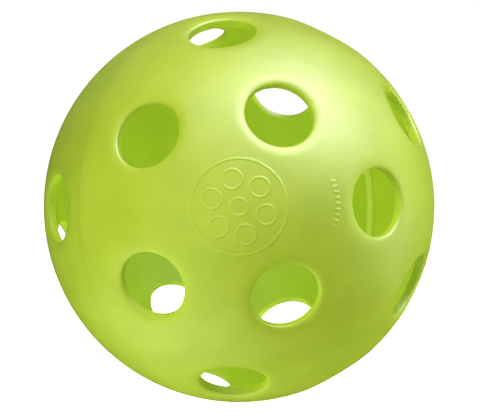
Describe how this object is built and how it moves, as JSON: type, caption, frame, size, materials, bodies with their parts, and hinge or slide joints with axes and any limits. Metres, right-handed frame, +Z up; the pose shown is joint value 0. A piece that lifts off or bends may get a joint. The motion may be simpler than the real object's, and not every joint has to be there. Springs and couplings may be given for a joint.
{
  "type": "pickleball ball",
  "caption": "Hollow perforated plastic ball for indoor pickleball, welded from two lapped, moulded half shells with round air holes.",
  "frame": {"origin": "centre of the ball", "axes": "+X through the pole hole of the marked half, square to the plane of the lapped weld; +Z up in that plane; +Y completes a right-handed frame"},
  "size_m": [0.0726, 0.074, 0.074],
  "materials": {
    "marked_half": "waxy satin, moulded, slightly translucent lime green",
    "plain_half": "waxy satin, moulded, slightly translucent lime green",
    "bead": "smooth, remelted, slightly translucent lime green"
  },
  "bodies": {
    "root": {"marked_half_shell": "marked_half", "plain_half_shell": "plain_half", "weld_bead": "bead"}
  },
  "joints": []
}
